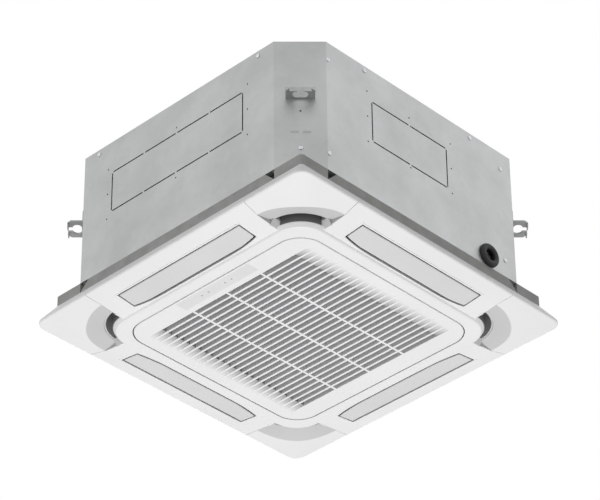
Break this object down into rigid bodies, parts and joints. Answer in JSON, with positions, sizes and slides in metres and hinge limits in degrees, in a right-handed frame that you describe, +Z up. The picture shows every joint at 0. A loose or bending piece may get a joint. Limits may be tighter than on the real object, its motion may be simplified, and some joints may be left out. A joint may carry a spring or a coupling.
{
  "type": "ceiling cassette air conditioner",
  "caption": "Compact ceiling cassette indoor unit: eight-sided steel cabinet with hanger brackets, square white fascia with louvre vanes, corner outlets and a hinged slatted intake grille.",
  "frame": {"origin": "centre of the lowest face, which is the front of the intake grille and its ring", "axes": "+Z points up to the ceiling slab, +Y to the side with the grille's hinge and the pipes, +X to the side with the cable grommet"},
  "size_m": [0.62, 0.621, 0.326],
  "materials": {
    "galvanised_steel": "hot-dip galvanised sheet, matt",
    "bracket_steel": "galvanised, thicker stock",
    "screw_steel": "bright zinc",
    "rubber": "black moulded rubber",
    "foam": "expanded polystyrene",
    "aluminium_fin": "fin stock",
    "copper": "drawn copper tube with brass ends",
    "motor_steel": "painted motor housing",
    "fan_plastic": "moulded polystyrene",
    "terminal_plastic": "black phenolic",
    "float_plastic": "foamed float",
    "pump_plastic": "moulded",
    "white_plastic": "white ABS, fine satin grain",
    "vane_plastic": "pale grey ABS, satin",
    "seal_foam": "grey sealing block",
    "window_plastic": "translucent white window",
    "filter_mesh": "woven polypropylene in a ribbed frame"
  },
  "bodies": {
    "housing": {"top_pan": "galvanised_steel", "front_sheet": "galvanised_steel", "right_sheet": "galvanised_steel", "back_sheet": "galvanised_steel", "left_sheet": "galvanised_steel", "post_right_back": "galvanised_steel", "post_back_left": "galvanised_steel", "post_left_front": "galvanised_steel", "post_front_right": "galvanised_steel", "control_box": "galvanised_steel", "control_cover": "galvanised_steel", "hanger_right_back": "bracket_steel", "hanger_back_left": "bracket_steel", "hanger_left_front": "bracket_steel", "hanger_front_right": "bracket_steel", "cabinet_screws": "screw_steel", "panel_screws": "screw_steel", "cable_grommet": "rubber", "motor_mounts": "rubber", "foam_liner": "foam", "drain_pan": "foam", "coil_fins": "aluminium_fin", "coil_tubes": "copper", "gas_pipe": "copper", "liquid_pipe": "copper", "fan_motor": "motor_steel", "bellmouth": "fan_plastic", "drain_outlet": "fan_plastic", "float_switch": "fan_plastic", "terminal_block": "terminal_plastic", "drain_pump": "pump_plastic", "panel_frame": "white_plastic", "corner_cap_right_back": "white_plastic", "corner_cap_back_left": "white_plastic", "corner_cap_left_front": "white_plastic", "corner_cap_front_right": "white_plastic", "grille_latches": "white_plastic", "vane_motor_front": "white_plastic", "vane_motor_right": "white_plastic", "vane_motor_back": "white_plastic", "vane_motor_left": "white_plastic", "seal_front": "seal_foam", "seal_right": "seal_foam", "seal_back": "seal_foam", "seal_left": "seal_foam", "corner_seal_right_back": "seal_foam", "corner_seal_back_left": "seal_foam", "corner_seal_left_front": "seal_foam", "corner_seal_front_right": "seal_foam"},
    "fan": {"fan_shaft": "screw_steel", "turbo_fan": "fan_plastic", "fan_nut": "screw_steel"},
    "front_vane": {"vane_front": "vane_plastic"},
    "right_vane": {"vane_right": "vane_plastic"},
    "back_vane": {"vane_back": "vane_plastic"},
    "left_vane": {"vane_left": "vane_plastic"},
    "grille": {"intake_grille": "white_plastic", "display_window": "window_plastic", "air_filter": "filter_mesh"},
    "float": {"float_ring": "float_plastic"}
  },
  "joints": [
    {"name": "fan_spin", "type": "hinge", "parent": "housing", "child": "fan", "pos_m": [0, 0, 0.2], "axis": [0, 0, 1], "continuous": true},
    {"name": "front_vane_tilt", "type": "hinge", "parent": "housing", "child": "front_vane", "pos_m": [0, -0.252, 0.014], "axis": [1, 0, 0], "range_deg": [0, 60]},
    {"name": "right_vane_tilt", "type": "hinge", "parent": "housing", "child": "right_vane", "pos_m": [0.252, 0, 0.014], "axis": [0, 1, 0], "range_deg": [0, 60]},
    {"name": "back_vane_tilt", "type": "hinge", "parent": "housing", "child": "back_vane", "pos_m": [0, 0.252, 0.014], "axis": [-1, 0, 0], "range_deg": [0, 60]},
    {"name": "left_vane_tilt", "type": "hinge", "parent": "housing", "child": "left_vane", "pos_m": [-0.252, 0, 0.014], "axis": [0, -1, 0], "range_deg": [0, 60]},
    {"name": "grille_hinge", "type": "hinge", "parent": "housing", "child": "grille", "pos_m": [0, 0.177, 0.006], "axis": [1, 0, 0], "range_deg": [0, 45]},
    {"name": "float_rise", "type": "slide", "parent": "housing", "child": "float", "axis": [0, 0, 1], "range_m": [0, 0.008]}
  ]
}
